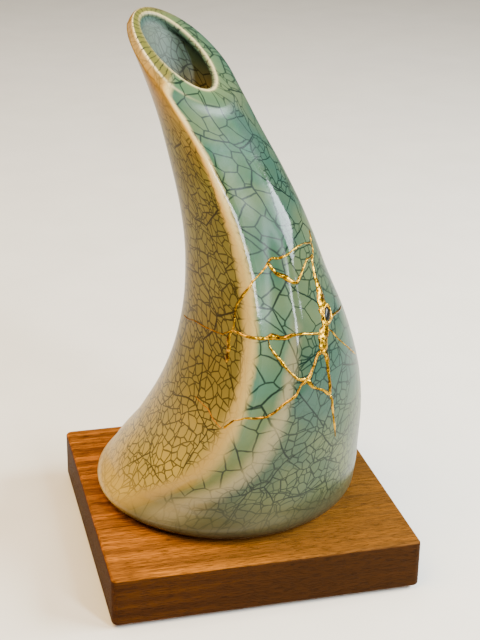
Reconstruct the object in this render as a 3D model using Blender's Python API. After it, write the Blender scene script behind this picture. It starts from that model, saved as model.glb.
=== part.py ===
"""Repaired celadon vase on its wooden base.

A hollow, horn-shaped ceramic vase leans back over a round foot and ends in a slanted oval mouth. A sharp main
ridge and a softer shoulder run down its front, with a channel between them. It was broken and repaired: lacquer
seams finished in gold fill the joints, and a black oval stone set in gold closes the point where it was struck.
The vase rests on a square block of wood with eased edges, which stands on a felt pad.

Units are metres and +Z is up. The origin is the middle of the felt pad's underside. +X is to the right of the
side that shows the main ridge, and -Y is towards the viewer.
"""

import math

import bmesh
import bpy
import numpy as np
from mathutils import Vector

# Felt pad and wooden base
BASE_SIDE = 0.150
BASE_THICKNESS = 0.0245
BASE_EDGE_RADIUS = 0.0022
BASE_CORNER_RADIUS = 0.0035
FELT_THICKNESS = 0.0015
FELT_INSET = 0.0035
GAP = 0.0003  # between pieces that touch

# Vase
VASE_HEIGHT = 0.2135  # from the foot to the middle of the mouth
VASE_X = -0.0015
VASE_Y = 0.0025
WALL = 0.0042
FLOOR_THICKNESS = 0.007
FOOT_RING_WIDTH = 0.007
FOOT_RECESS = 0.0015
FLOOR_MARGIN = 0.0077  # from the outer form in to the flat floor inside
LAST_WALL_HEIGHT = 0.0112  # of the lowest ring of the inner wall, above the foot
LEAN_DIRECTION = math.radians(50)  # the vase leans to the left and, by this much, away from the viewer

# Mouth
RIM_AT_ENDS = 0.0095  # from the outer form in to the mouth's edge, along the mouth
RIM_AT_SIDES = 0.0115
RIM_RISE = 0.0022
LIP_RADIUS = 0.0018
MOUTH_TO_TIP = 0.0034  # how far the mouth sits off the ring's middle, towards the tip
MOUTH_TO_FRONT = 0.0009
THROAT = 0.012  # depth over which the mouth widens to the full hollow
LIP_BELOW = 0.0036  # height between the middle of the mouth and the first ring inside it

# Gold repair and stone
SEAM_WIDTH = 0.0012
SEAM_DEPTH = 0.0009
SEAM_PROUD = 0.0006
SEAM_SHOULDER = 0.3  # share of SEAM_PROUD at which a seam's sides start to close in
SEAM_CROWN = 0.5  # width of a seam's top, as a share of its foot
GROOVE_REACH = 0.0026  # how far the shapes that cut the grooves stand out of the glaze
STONE_LENGTH = 0.0076
STONE_WIDTH = 0.0046
STONE_DEPTH = 0.0012
STONE_PROUD = 0.0011
BEZEL_WIDTH = 0.0010

# The free form, given at rings up the vase. Lengths are shares of VASE_HEIGHT and angles are degrees. A ring's
# long axis runs downhill, to the front right, and angles around a ring are counted from there, so that -90 is
# the side to the front left.
STATIONS = (0.0, 0.02, 0.075, 0.17, 0.29, 0.445, 0.60, 0.76, 0.915, 1.0)
FORM = {
    "lean": (0.012, 0.014, -0.005, -0.045, -0.084, -0.094, -0.061, -0.002, 0.082, 0.134),
    "long": (0.272, 0.297, 0.300, 0.269, 0.234, 0.197, 0.166, 0.155, 0.150, 0.155),
    "cross": (0.269, 0.297, 0.276, 0.258, 0.232, 0.183, 0.150, 0.133, 0.124, 0.124),
    "tilt": (0, 0, 0, 0, 1, 4, 10, 18, 31, 38.5),
    "ridge": (0.0, 0.001, 0.007, 0.014, 0.016, 0.016, 0.014, 0.014, 0.012, 0.007),
    "ridge_angle": (-112, -108, -96, -77, -69, -65.5, -61, -60.5, -60.5, -68),
    "ridge_spread": (16, 16, 15, 13, 13, 14, 16, 17, 18, 18),
    "shoulder": (0.0, 0.001, 0.005, 0.008, 0.009, 0.009, 0.008, 0.007, 0.004, 0.0),
    "shoulder_angle": (-92, -89, -80, -58, -47.5, -39, -25.5, -10, 0, 5),
    "shoulder_spread": (12, 12, 12, 12, 14, 16, 18, 20, 20, 20),
    "channel": (0.0, 0.001, 0.004, 0.006, 0.008, 0.010, 0.012, 0.009, 0.005, 0.0),
    "channel_spread": (10, 10, 10, 9, 10, 12, 14, 18, 20, 20),
    "hollow": (0.0, 0.0, 0.007, 0.016, 0.016, 0.014, 0.012, 0.009, 0.005, 0.0),
}
HOLLOW_BEHIND_RIDGE = 50
HOLLOW_SPREAD = 38

# How finely the vase is faceted
AROUND = 48
CROWDING = 0.4  # draws the facets together around the ridges
CROWDED_ANGLE = math.radians(-60)
RINGS_UP = 22
RINGS_INSIDE = 13
RIM_STEPS = 4
LIP_STEPS = 2
STONE_SIDES = 24
STONE_STEPS = 3
CORNER_STEPS = 4
EDGE_STEPS = 3
SMOOTH_ANGLE = math.radians(40)
FOOT_SHARES = (0.0, 0.01, 0.02, 0.045)
SEAM_STEP = 0.042  # the longest straight run of a seam, as a share of VASE_HEIGHT

# The gold seams as (width factor, points), where a point is a height share and an angle around the ring
SEAMS = (
    (1.0, ((0.674, 17), (0.688, 1), (0.682, -16), (0.664, -30), (0.652, -40.5))),
    (1.0, ((0.674, 17), (0.652, 11.5))),
    (1.0, ((0.652, 11.5), (0.652, -2.5), (0.618, -18.5), (0.61, -22))),
    (1.6, ((0.61, -22), (0.622, -28.5), (0.630, -35.5), (0.652, -40.5))),
    (1.3, ((0.652, -40.5), (0.61, -56.5), (0.55, -72.5), (0.492, -77.5))),
    (0.8, ((0.492, -77.5), (0.474, -88), (0.464, -118), (0.450, -138.5))),
    (1.8, ((0.492, -77.5), (0.468, -81.5), (0.424, -81))),
    (1.5, ((0.492, -77.5), (0.489, -60), (0.493, -42), (0.502, -29), (0.490, -11))),
    (1.5, ((0.652, 11.5), (0.62, 3), (0.588, 2))),
    (2.8, ((0.588, 2), (0.556, -0.5), (0.516, -5))),
    (3.6, ((0.516, -5), (0.49, -11), (0.454, -16.5))),
    (1.6, ((0.454, -16.5), (0.436, -23), (0.398, -30.5))),
    (1.5, ((0.454, -16.5), (0.446, -13), (0.348, -13.5))),
    (1.6, ((0.398, -30.5), (0.378, -26), (0.348, -13.5))),
    (0.9, ((0.348, -13.5), (0.302, -11.5), (0.236, -8.5))),
    (1.2, ((0.398, -30.5), (0.424, -42.5), (0.488, -53.5))),
    (1.2, ((0.398, -30.5), (0.368, -37.5), (0.33, -49), (0.316, -64), (0.286, -73.5))),
    (1.2, ((0.286, -73.5), (0.298, -80.5), (0.314, -86))),
    (1.0, ((0.514, -2), (0.516, 6.5), (0.508, 30))),
    (1.0, ((0.498, -8), (0.462, 3), (0.390, 26))),
)
STONE_TOP = (0.540, 2.0)
STONE_FOOT = (0.510, -4.5)

VASE_SEAT = FELT_THICKNESS + GAP + BASE_THICKNESS + GAP


def clear_scene():
    for old in list(bpy.data.objects):
        bpy.data.objects.remove(old)


def material(name, colour, roughness, metallic=0.0, coat=0.0):
    made = bpy.data.materials.new(name)
    made.use_nodes = True
    made.diffuse_color = (*colour, 1)
    shader = made.node_tree.nodes["Principled BSDF"]
    shader.inputs["Base Color"].default_value = (*colour, 1)
    shader.inputs["Roughness"].default_value = roughness
    shader.inputs["Metallic"].default_value = metallic
    shader.inputs["Coat Weight"].default_value = coat
    return made


def make_object(name, bm, finish, parent):
    """A closed mesh as an object of its own, shaded smooth except over sharp edges."""
    bmesh.ops.recalc_face_normals(bm, faces=bm.faces)
    mesh = bpy.data.meshes.new(name)
    bm.to_mesh(mesh)
    bm.free()
    mesh.materials.append(finish)
    mesh.shade_smooth()
    mesh.set_sharp_from_angle(angle=SMOOTH_ANGLE)
    made = bpy.data.objects.new(name, mesh)
    made.parent = parent
    bpy.context.scene.collection.objects.link(made)
    return made


def along(values, share):
    """Value at a height share on a smooth curve through the values at the stations."""
    steps = np.diff(STATIONS)
    slopes = np.diff(values) / steps
    tangents = np.empty(len(STATIONS))
    tangents[0], tangents[-1] = slopes[0], slopes[-1]
    tangents[1:-1] = (slopes[:-1] * steps[1:] + slopes[1:] * steps[:-1]) / (steps[1:] + steps[:-1])
    i = int(np.clip(np.searchsorted(STATIONS, share, side="right") - 1, 0, len(steps) - 1))
    u = (share - STATIONS[i]) / steps[i]
    return (
        (1 + 2 * u) * (1 - u) ** 2 * values[i]
        + u * (1 - u) ** 2 * steps[i] * tangents[i]
        + u * u * (3 - 2 * u) * values[i + 1]
        + u * u * (u - 1) * steps[i] * tangents[i + 1]
    )


def form(name, share):
    return float(along(FORM[name], share))


def ring_frame(share):
    """A ring's middle and its long and cross axes, in the vase's own frame."""
    tilt = math.radians(form("tilt", share))
    lean = VASE_HEIGHT * form("lean", share)
    left, back = math.cos(LEAN_DIRECTION), math.sin(LEAN_DIRECTION)
    middle = Vector((-left * lean, back * lean, VASE_HEIGHT * share))
    downhill = Vector((left * math.cos(tilt), -back * math.cos(tilt), -math.sin(tilt)))
    across = Vector((back, left, 0))
    return middle, downhill, across


def swell(angle, peak, spread):
    """1 at the peak, falling away smoothly on both sides of it. All three are degrees."""
    away = (angle - peak + 180) % 360 - 180
    return math.exp(-((away / spread) ** 2))


def outer_point(share, angle):
    """A point of the outer surface, from a height share and an angle in degrees."""
    middle, downhill, across = ring_frame(share)
    half_long = VASE_HEIGHT * form("long", share)
    half_cross = VASE_HEIGHT * form("cross", share)
    turn = math.radians(angle)
    outward = Vector((half_cross * math.cos(turn), half_long * math.sin(turn))).normalized()
    ridge_angle, shoulder_angle = form("ridge_angle", share), form("shoulder_angle", share)
    relief = (
        form("ridge", share) * swell(angle, ridge_angle, form("ridge_spread", share))
        + form("shoulder", share) * swell(angle, shoulder_angle, form("shoulder_spread", share))
        - form("channel", share)
        * swell(angle, (ridge_angle + shoulder_angle) / 2, form("channel_spread", share))
        - form("hollow", share) * swell(angle, ridge_angle - HOLLOW_BEHIND_RIDGE, HOLLOW_SPREAD)
    )
    x = half_long * math.cos(turn) + VASE_HEIGHT * relief * outward.x
    y = half_cross * math.sin(turn) + VASE_HEIGHT * relief * outward.y
    return middle + x * downhill + y * across


def outer_normal(share, angle):
    """Direction straight out of the surface."""
    step_share, step_angle = 0.004, 1.0
    low, high = max(share - step_share, 0), min(share + step_share, 1)
    up = outer_point(high, angle) - outer_point(low, angle)
    round_ring = outer_point(share, angle + step_angle) - outer_point(share, angle - step_angle)
    return round_ring.cross(up).normalized()


def ring_angles():
    """The columns of the mesh in degrees, closer together around the ridges."""
    turns = [2 * math.pi * i / AROUND for i in range(AROUND)]
    return [math.degrees(t - CROWDING * math.sin(t - CROWDED_ANGLE)) for t in turns]


def mouth_point(angle, inset, drop, share=1.0):
    """A point on the mouth's outline, drawn in by inset and lowered by drop."""
    middle, downhill, across = ring_frame(share)
    turn = math.radians(angle)
    x = (VASE_HEIGHT * form("long", 1.0) - RIM_AT_ENDS - inset) * math.cos(turn) - MOUTH_TO_TIP
    y = (VASE_HEIGHT * form("cross", 1.0) - RIM_AT_SIDES - inset) * math.sin(turn) - MOUTH_TO_FRONT
    return middle + x * downhill + y * across + (RIM_RISE - drop) * downhill.cross(across)


def underside_rings(angles):
    """The recessed underside and the foot ring that stands around it."""
    foot = [outer_point(0, a) for a in angles]
    inner = [p * (1 - FOOT_RING_WIDTH / p.xy.length) for p in foot]
    recess = [Vector((p.x, p.y, FOOT_RECESS)) for p in inner]
    return [recess, inner]


def outer_rings(angles):
    shares = [*FOOT_SHARES, *np.linspace(STATIONS[2], 1, RINGS_UP)]
    return [[outer_point(s, a) for a in angles] for s in shares]


def rim_rings(angles):
    """The rounded rim, from the outer form in to the mouth's edge, and the lip that turns down inside."""
    rings = []
    normal = ring_frame(1)[1].cross(ring_frame(1)[2])
    for i in range(1, RIM_STEPS + 1):
        q = 0.5 * math.pi * i / RIM_STEPS
        ring = []
        for a in angles:
            start, end = outer_point(1, a), mouth_point(a, 0, RIM_RISE)
            ring.append(start.lerp(end, 1 - math.cos(q)) + RIM_RISE * math.sin(q) * normal)
        rings.append(ring)
    for i in range(1, LIP_STEPS + 1):
        q = 0.5 * math.pi * i / LIP_STEPS
        inset, drop = LIP_RADIUS * math.sin(q), LIP_RADIUS * (1 - math.cos(q))
        rings.append([mouth_point(a, inset, drop) for a in angles])
    return rings


def inner_rings(angles):
    """The inside, from below the lip down to the flat floor, one wall's thickness inside the outer form."""
    floor_share = FLOOR_THICKNESS / VASE_HEIGHT
    rings = []
    for height in np.linspace(VASE_HEIGHT - LIP_BELOW, LAST_WALL_HEIGHT, RINGS_INSIDE):
        share = height / VASE_HEIGHT
        u = min((VASE_HEIGHT - height) / THROAT, 1)
        widened = u * u * (3 - 2 * u)
        ring = []
        for a in angles:
            wall = outer_point(share, a) - WALL * outer_normal(share, a)
            ring.append(mouth_point(a, LIP_RADIUS, RIM_RISE, share).lerp(wall, widened))
        rings.append(ring)
    middle = ring_frame(floor_share)[0]
    floor = []
    for a in angles:
        wall = outer_point(floor_share, a)
        floor.append(wall + (middle - wall).normalized() * FLOOR_MARGIN)
    return [*rings, floor]


def loft(rings):
    """A closed skin of triangles: the first ring is filled, the others are extruded, and the last is filled."""
    bm = bmesh.new()
    ring = bmesh.ops.create_circle(bm, segments=len(rings[0]), radius=1, cap_ends=True)["verts"]
    for vert, place in zip(ring, rings[0]):
        vert.co = place
    for places in rings[1:]:
        edges = [bm.edges.get((ring[i - 1], ring[i])) for i in range(len(ring))]
        made = bmesh.ops.extrude_edge_only(bm, edges=edges)["geom"]
        new = {v for v in made if isinstance(v, bmesh.types.BMVert)}
        ring = [next(e.other_vert(v) for e in v.link_edges if e.other_vert(v) in new) for v in ring]
        for vert, place in zip(ring, places):
            vert.co = place
    bm.faces.new(ring)
    bmesh.ops.triangulate(bm, faces=bm.faces)
    return bm


def seam_path(points):
    """Points along a seam, close enough together to follow the glaze, as (place, outward normal)."""
    path = []
    for (s0, a0), (s1, a1) in zip(points, points[1:]):
        length = (outer_point(s1, a1) - outer_point(s0, a0)).length
        count = max(1, math.ceil(length / (SEAM_STEP * VASE_HEIGHT)))
        path += [(s0 + (s1 - s0) * k / count, a0 + (a1 - a0) * k / count) for k in range(count)]
    path.append(points[-1])
    return [(outer_point(s, a), outer_normal(s, a)) for s, a in path]


def seam_bar(points, width, depth, proud, crown):
    """A bar swept along a seam, square below and drawn in above to a crown, a share of its width."""
    path = seam_path(points)
    half = width / 2
    shoulder = SEAM_SHOULDER * proud
    section = ((-half, -depth), (half, -depth), (half, shoulder), (half * crown, proud),
               (-half * crown, proud), (-half, shoulder))
    rings = []
    for i, (place, normal) in enumerate(path):
        ahead = path[min(i + 1, len(path) - 1)][0] - path[max(i - 1, 0)][0]
        side = ahead.cross(normal).normalized()
        overrun = ahead.normalized() * half * ((i == len(path) - 1) - (i == 0))
        rings.append([place + overrun + side * x + normal * y for x, y in section])
    return loft(rings)


def stone_frame():
    """The stone's middle on the surface, its long axis, its cross axis and the way out."""
    top, foot = outer_point(*STONE_TOP), outer_point(*STONE_FOOT)
    share, angle = (np.array(STONE_TOP) + STONE_FOOT) / 2
    normal = outer_normal(share, angle)
    along_stone = (top - foot - normal * (top - foot).dot(normal)).normalized()
    return outer_point(share, angle), along_stone, along_stone.cross(normal), normal


def stone_prism(grow, depth, proud, dome=0.0):
    """An oval block as deep and proud as asked, with a domed top where dome is above 0."""
    middle, long_way, cross_way, out = stone_frame()

    def oval(scale, height):
        return [
            middle
            + long_way * (STONE_LENGTH / 2 + grow) * scale * math.cos(2 * math.pi * i / STONE_SIDES)
            + cross_way * (STONE_WIDTH / 2 + grow) * scale * math.sin(2 * math.pi * i / STONE_SIDES)
            + out * height
            for i in range(STONE_SIDES)
        ]

    rings = [oval(1, -depth), oval(1, proud - dome)]
    for i in range(1, STONE_STEPS + 1):
        q = 0.5 * math.pi * i / (STONE_STEPS + 0.5)
        rings.append(oval(math.cos(q), proud - dome + dome * math.sin(q)))
    return loft(rings if dome else rings[:2])


def cutters(name, meshes, finish, parent):
    """Hidden shapes in a collection of their own, for a Boolean to read."""
    group = bpy.data.collections.new(name)
    bpy.context.scene.collection.children.link(group)
    for i, bm in enumerate(meshes):
        shape = make_object(f"{name}_{i:02d}", bm, finish, parent)
        bpy.context.scene.collection.objects.unlink(shape)
        group.objects.link(shape)
        shape.hide_render = True
        shape.display_type = "WIRE"
    return group


def boolean(target, operation, group):
    cut = target.modifiers.new(group.name, "BOOLEAN")
    cut.operation = operation
    cut.solver = "EXACT"
    cut.operand_type = "COLLECTION"
    cut.collection = group


def make_vase(parent):
    angles = ring_angles()
    rings = underside_rings(angles) + outer_rings(angles) + rim_rings(angles) + inner_rings(angles)
    glaze = material("celadon_glaze", (0.42, 0.48, 0.34), 0.18, coat=0.6)
    vase = make_object("vase", loft(rings), glaze, parent)
    vase.location = (VASE_X, VASE_Y, VASE_SEAT)
    return vase


def make_repair(vase):
    """Gold seams in their grooves, and the stone in its gold setting."""
    gold = material("gold", (0.80, 0.50, 0.16), 0.3, metallic=1.0)
    bars = [seam_bar(p, SEAM_WIDTH * w, SEAM_DEPTH, SEAM_PROUD, SEAM_CROWN) for w, p in SEAMS]
    setting = stone_prism(BEZEL_WIDTH, STONE_DEPTH + SEAM_DEPTH, SEAM_PROUD)
    seams = make_object("gold_seams", setting, gold, vase)
    boolean(seams, "UNION", cutters("seam_bars", bars, gold, vase))
    pocket = stone_prism(GAP, STONE_DEPTH, STONE_PROUD)
    boolean(seams, "DIFFERENCE", cutters("stone_pocket", [pocket], gold, vase))

    grooves = [seam_bar(p, SEAM_WIDTH * w + 2 * GAP, SEAM_DEPTH + GAP, GROOVE_REACH, 1) for w, p in SEAMS]
    grooves.append(stone_prism(BEZEL_WIDTH + GAP, STONE_DEPTH + SEAM_DEPTH + GAP, GROOVE_REACH))
    boolean(vase, "DIFFERENCE", cutters("seam_grooves", grooves, gold, vase))

    onyx = material("black_stone", (0.012, 0.012, 0.014), 0.12, coat=1.0)
    make_object("black_inlay", stone_prism(0, STONE_DEPTH - GAP, STONE_PROUD, STONE_PROUD), onyx, vase)


def make_block(name, side, thickness, corner, edge, bottom, finish, parent):
    """A square slab with rounded corners and, where edge is above 0, eased edges."""
    bm = bmesh.new()
    bmesh.ops.create_cube(bm, size=1)
    bmesh.ops.scale(bm, vec=(side, side, thickness), verts=bm.verts)
    rounding = {"profile": 0.5, "affect": "EDGES", "material": -1}
    upright = [e for e in bm.edges if abs(e.verts[0].co.z - e.verts[1].co.z) > thickness / 2]
    bmesh.ops.bevel(bm, geom=upright, offset=corner, segments=CORNER_STEPS, **rounding)
    if edge:
        level = [e for e in bm.edges if abs(e.verts[0].co.z - e.verts[1].co.z) < thickness / 2]
        bmesh.ops.bevel(bm, geom=level, offset=edge, segments=EDGE_STEPS, **rounding)
    block = make_object(name, bm, finish, parent)
    block.location.z = bottom + thickness / 2
    return block


def main():
    clear_scene()
    whole = bpy.data.objects.new("vase_on_base", None)
    bpy.context.scene.collection.objects.link(whole)
    felt = material("black_felt", (0.02, 0.02, 0.02), 0.95)
    oak = material("oiled_wood", (0.36, 0.19, 0.07), 0.5)
    felt_side = BASE_SIDE - 2 * FELT_INSET
    make_block("felt_pad", felt_side, FELT_THICKNESS, BASE_CORNER_RADIUS, 0, 0, felt, whole)
    make_block(
        "wooden_base", BASE_SIDE, BASE_THICKNESS, BASE_CORNER_RADIUS, BASE_EDGE_RADIUS,
        FELT_THICKNESS + GAP, oak, whole,
    )
    vase = make_vase(whole)
    make_repair(vase)


main()
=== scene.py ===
import math

import bmesh
import bpy
import numpy as np
from mathutils import Matrix, Vector, noise


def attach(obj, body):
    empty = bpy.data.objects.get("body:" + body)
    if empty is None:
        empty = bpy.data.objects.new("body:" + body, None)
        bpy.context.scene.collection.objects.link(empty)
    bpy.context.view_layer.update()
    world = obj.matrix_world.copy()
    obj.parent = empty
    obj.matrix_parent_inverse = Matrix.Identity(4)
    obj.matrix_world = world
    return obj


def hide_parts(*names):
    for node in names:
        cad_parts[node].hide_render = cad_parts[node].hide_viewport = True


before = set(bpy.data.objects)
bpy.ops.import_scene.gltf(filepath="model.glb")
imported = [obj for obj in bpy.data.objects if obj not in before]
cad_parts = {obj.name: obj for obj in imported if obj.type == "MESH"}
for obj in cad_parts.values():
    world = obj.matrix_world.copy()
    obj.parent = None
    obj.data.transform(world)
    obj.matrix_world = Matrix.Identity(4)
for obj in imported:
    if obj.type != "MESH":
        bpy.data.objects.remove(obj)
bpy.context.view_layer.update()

# The camera stands where a viewer leans over the table, to the left of the base and above the mouth.
# It looks down on the vase with a long lens. Places are in metres.
EYE = (-0.1597, -0.6236, 0.3961)
EYE_RIGHT = Vector((0.96913, -0.24613, 0.01434))
EYE_DOWN = Vector((-0.08510, -0.38855, -0.91749))
FRAME_HEIGHT = 36.0
FOCAL_LENGTH = 81.14

lens = bpy.data.cameras.new("viewer")
lens.sensor_fit = "VERTICAL"
lens.sensor_height = FRAME_HEIGHT
lens.lens = FOCAL_LENGTH
viewer = bpy.data.objects.new("viewer", lens)
turned = Matrix((EYE_RIGHT, -EYE_DOWN, EYE_RIGHT.cross(-EYE_DOWN))).transposed()
viewer.matrix_world = Matrix.Translation(EYE) @ turned.to_4x4()
bpy.context.scene.collection.objects.link(viewer)
bpy.context.scene.camera = viewer


# The base is one square block, sawn from a one-inch board of brown hardwood. Its corners and edges are
# sanded round, and it is rubbed with oil, which darkens its pores. Its sides are painted darker, as shade.
BASE_SIDE = 0.150
BASE_THICKNESS = 0.0245
BASE_CORNER_RADIUS = 0.003
BASE_EDGE_RADIUS = 0.0016
FELT_THICKNESS = 0.0015
GAP = 0.0003  # between pieces that touch
EDGE_STEPS = 6
HEART_DEPTH = 95.0  # of the tree's heart below the table, in millimetres
RING_TURN = 1.05  # radians a millimetre, so that a ring is 6 mm wide
RING_WANDER = 9.0
BOARD_WANDER = 14.0  # how far the rings stray sideways, in millimetres
WOOD_RELIEF = 0.0004
MM = 1000.0  # millimetres in a metre


class Tone:
    """A shader socket with Python's operators, each of which adds its Math node."""

    def __init__(self, tree, out=None):
        self.tree = tree
        self.out = out

    def node(self, kind, settings=None, inputs=None, out=0):
        made = self.tree.nodes.new(kind)
        for name, value in (settings or {}).items():
            setattr(made, name, value)
        for socket, value in (inputs or {}).items():
            if isinstance(value, Tone):
                self.tree.links.new(value.out, made.inputs[socket])
            else:
                made.inputs[socket].default_value = value
        return Tone(self.tree, made.outputs[out])

    def math(self, operation, *values):
        return self.node("ShaderNodeMath", {"operation": operation}, dict(enumerate(values)))

    def __add__(self, other):
        return self.math("ADD", self, other)

    def __sub__(self, other):
        return self.math("SUBTRACT", self, other)

    def __rsub__(self, other):
        return self.math("SUBTRACT", other, self)

    def __mul__(self, other):
        return self.math("MULTIPLY", self, other)

    def __truediv__(self, other):
        return self.math("DIVIDE", self, other)

    def __gt__(self, other):
        return self.math("GREATER_THAN", self, other)

    def __abs__(self):
        return self.math("ABSOLUTE", self)

    __radd__ = __add__
    __rmul__ = __mul__

    def most(self, other):
        return self.math("MAXIMUM", self, other)

    def least(self, other):
        return self.math("MINIMUM", self, other)

    def rise(self, start, end):
        """0 at start and 1 at end, with a smooth rise between them, whichever of them is larger."""
        settings = {"interpolation_type": "SMOOTHSTEP"}
        return self.node("ShaderNodeMapRange", settings, {0: self, 1: start, 2: end, 3: 0.0, 4: 1.0})

    def blend(self, amount, under, over):
        """The colour under at an amount of 0, and the colour over at 1."""
        return self.node("ShaderNodeMix", {"data_type": "RGBA"}, {0: amount, 6: under, 7: over}, out=2)

    def vector(self, operation, first, second):
        return self.node("ShaderNodeVectorMath", {"operation": operation}, {0: first, 1: second})

    def parts(self):
        split = self.node("ShaderNodeSeparateXYZ", {}, {0: self})
        outlets = split.out.node.outputs
        return [Tone(self.tree, outlets[i]) for i in range(3)]

    def joined(self, x, y, z=0.0):
        return self.node("ShaderNodeCombineXYZ", {}, {0: x, 1: y, 2: z})

    def cloud(self, place, scale, detail=2.0, roughness=0.5, out=0):
        """Smooth noise from 0 to 1."""
        inputs = {"Vector": place, "Scale": scale, "Detail": detail, "Roughness": roughness}
        return self.node("ShaderNodeTexNoise", {}, inputs, out)


def finish(name):
    """A new material, its shader, a Tone to build from, and places on the part in millimetres."""
    made = bpy.data.materials.new(name)
    made.use_nodes = True
    shader = made.node_tree.nodes["Principled BSDF"]
    start = Tone(made.node_tree)
    place = start.node("ShaderNodeTexCoord", out="Object")
    return made, shader, start, start.vector("MULTIPLY", place, (MM, MM, MM))


def feed(shader, socket, tone):
    shader.id_data.links.new(tone.out, shader.inputs[socket])


def relief(shader, height, depth):
    """Bump from a height of 0 to 1, depth metres deep."""
    tone = height.node("ShaderNodeBump", {}, {"Strength": 1.0, "Distance": depth, "Height": height})
    feed(shader, "Normal", tone)


def srgb(red, green, blue):
    """A colour as it looks on a screen, from 0 to 255, as the shader's linear values."""
    shares = [c / 255 for c in (red, green, blue)]
    return (*[c / 12.92 if c <= 0.04045 else ((c + 0.055) / 1.055) ** 2.4 for c in shares], 1.0)


def piece(name, bm, material, node):
    """A finished piece that stands for a CAD node."""
    mesh = bpy.data.meshes.new(name)
    bm.to_mesh(mesh)
    bm.free()
    mesh.shade_smooth()
    mesh.materials.append(material)
    made = bpy.data.objects.new(name, mesh)
    bpy.context.scene.collection.objects.link(made)
    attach(made, "root")
    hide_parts(node)


def slab(side, thickness, corner, edge, bottom, steps):
    """A square block with rounded corners and edges."""
    bm = bmesh.new()
    bmesh.ops.create_cube(bm, size=1)
    bmesh.ops.scale(bm, vec=(side, side, thickness), verts=bm.verts)
    rounding = {"segments": steps, "profile": 0.5, "affect": "EDGES", "material": -1}
    upright = [e for e in bm.edges if abs(e.verts[0].co.z - e.verts[1].co.z) > thickness / 2]
    bmesh.ops.bevel(bm, geom=upright, offset=corner, **rounding)
    level = [e for e in bm.edges if abs(e.verts[0].co.z - e.verts[1].co.z) < thickness / 2]
    bmesh.ops.bevel(bm, geom=level, offset=edge, **rounding)
    bmesh.ops.translate(bm, vec=(0, 0, bottom + thickness / 2), verts=bm.verts)
    return bm


EARLY_WOOD = srgb(186, 110, 20)
LATE_WOOD = srgb(122, 70, 14)
STREAK_WOOD = srgb(80, 44, 10)
FIBRE_WOOD = srgb(70, 36, 8)
PORE_WOOD = srgb(36, 16, 2)
# Painted shade, for the right of the board and for its sides
SHADED_GREY_WOOD = srgb(84, 56, 20)
SHADED_SIDE_WOOD = srgb(38, 16, 0)

wood, shader, tone, place = finish("oiled_hardwood")
x, y, z = place.parts()
wander = tone.cloud(tone.joined(x * 0.012, y * 0.05, z * 0.05), 1.0, 3.0)
across = y + BOARD_WANDER * wander
from_heart = tone.math("SQRT", across * across + (z + HEART_DEPTH) * (z + HEART_DEPTH))
bands = tone.math("SINE", from_heart * RING_TURN + wander * RING_WANDER) * 0.5 + 0.5
fibre = tone.cloud(tone.joined(x * 0.035, y * 1.6, z * 1.6), 1.0, 4.0, 0.6)
streak = tone.cloud(tone.joined(x * 0.012, y * 0.33, z * 0.33), 1.0, 3.0, 0.55)
pores = tone.cloud(tone.joined(x * 0.16, y * 3.2, z * 3.2), 1.0, 1.0).rise(0.54, 0.68)
grain = tone.blend(bands * 0.6, EARLY_WOOD, LATE_WOOD)
grain = tone.blend(streak.rise(0.38, 0.62) * 0.65, grain, STREAK_WOOD)
grain = tone.blend(fibre.rise(0.35, 0.70) * 0.60, grain, FIBRE_WOOD)
grain = tone.blend(pores * 0.6, grain, PORE_WOOD)
# Painted shade: the board is greyer towards the right, away from the warm lamp, and its sawn sides are
# darker than its top
grain = tone.blend(x.rise(-68.0, 20.0) * 0.72, grain, SHADED_GREY_WOOD)
side = abs(tone.node("ShaderNodeNewGeometry", out="Normal").parts()[2]).rise(0.8, 0.3)
grain = tone.blend(side * 0.90, grain, SHADED_SIDE_WOOD)
feed(shader, "Base Color", grain)
feed(shader, "Roughness", 0.48 + 0.22 * fibre + 0.1 * pores)
shader.inputs["Specular IOR Level"].default_value = 0.05
relief(shader, (1 - pores) * 0.7 + fibre * 0.3, WOOD_RELIEF)
bm = slab(BASE_SIDE, BASE_THICKNESS, BASE_CORNER_RADIUS, BASE_EDGE_RADIUS, FELT_THICKNESS + GAP, EDGE_STEPS)
piece("base_block", bm, wood, "wooden_base")


# The pad is a thin sheet of pressed black felt. It is cut a little smaller than the block and glued under
# it, so that only its dark edge shows.
FELT_INSET = 0.0035
FELT_EDGE_STEPS = 3
FELT_RELIEF = 0.0003

felt, shader, tone, place = finish("pressed_felt")
fuzz = tone.cloud(place, 2.2, 4.0, 0.7)
feed(shader, "Base Color", tone.blend(fuzz, srgb(20, 20, 21), srgb(52, 50, 48)))
shader.inputs["Roughness"].default_value = 1.0
shader.inputs["Sheen Weight"].default_value = 0.3
relief(shader, fuzz, FELT_RELIEF)
felt_side = BASE_SIDE - 2 * FELT_INSET
bm = slab(felt_side, FELT_THICKNESS, BASE_CORNER_RADIUS, FELT_THICKNESS / 4, 0, FELT_EDGE_STEPS)
piece("felt_sheet", bm, felt, "felt_pad")


# The vase is hand-built stoneware, a horn that bends back to a slanted mouth, with two pinched ridges and a
# channel down its front. It is dipped in celadon glaze, which runs thin over the ridges and the lip, pools
# green in the channel and crazes into dark-stained cells. It stands loose on the base.
VASE_HEIGHT = 0.2135
VASE_PLACE = np.array((-0.0015, 0.0025, FELT_THICKNESS + GAP + BASE_THICKNESS + GAP))
WALL = 0.0042
FLOOR_THICKNESS = 0.007
FLOOR_MARGIN = 0.0077
LAST_WALL_HEIGHT = 0.0112
FOOT_RING_WIDTH = 0.007
FOOT_RECESS = 0.0015
LEAN_DIRECTION = math.radians(50)
RIM_AT_ENDS = 0.0095
RIM_AT_SIDES = 0.0115
RIM_RISE = 0.0022
LIP_RADIUS = 0.0018
LIP_BELOW = 0.0036
MOUTH_TO_TIP = 0.0034
TIP_WIDENING = 0.0024  # how much more open the mouth is towards the tip, where its edge is sharper
TIP_ANGLE = -160
TIP_SPREAD = 60
MOUTH_TO_FRONT = 0.0009
THROAT = 0.012
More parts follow.
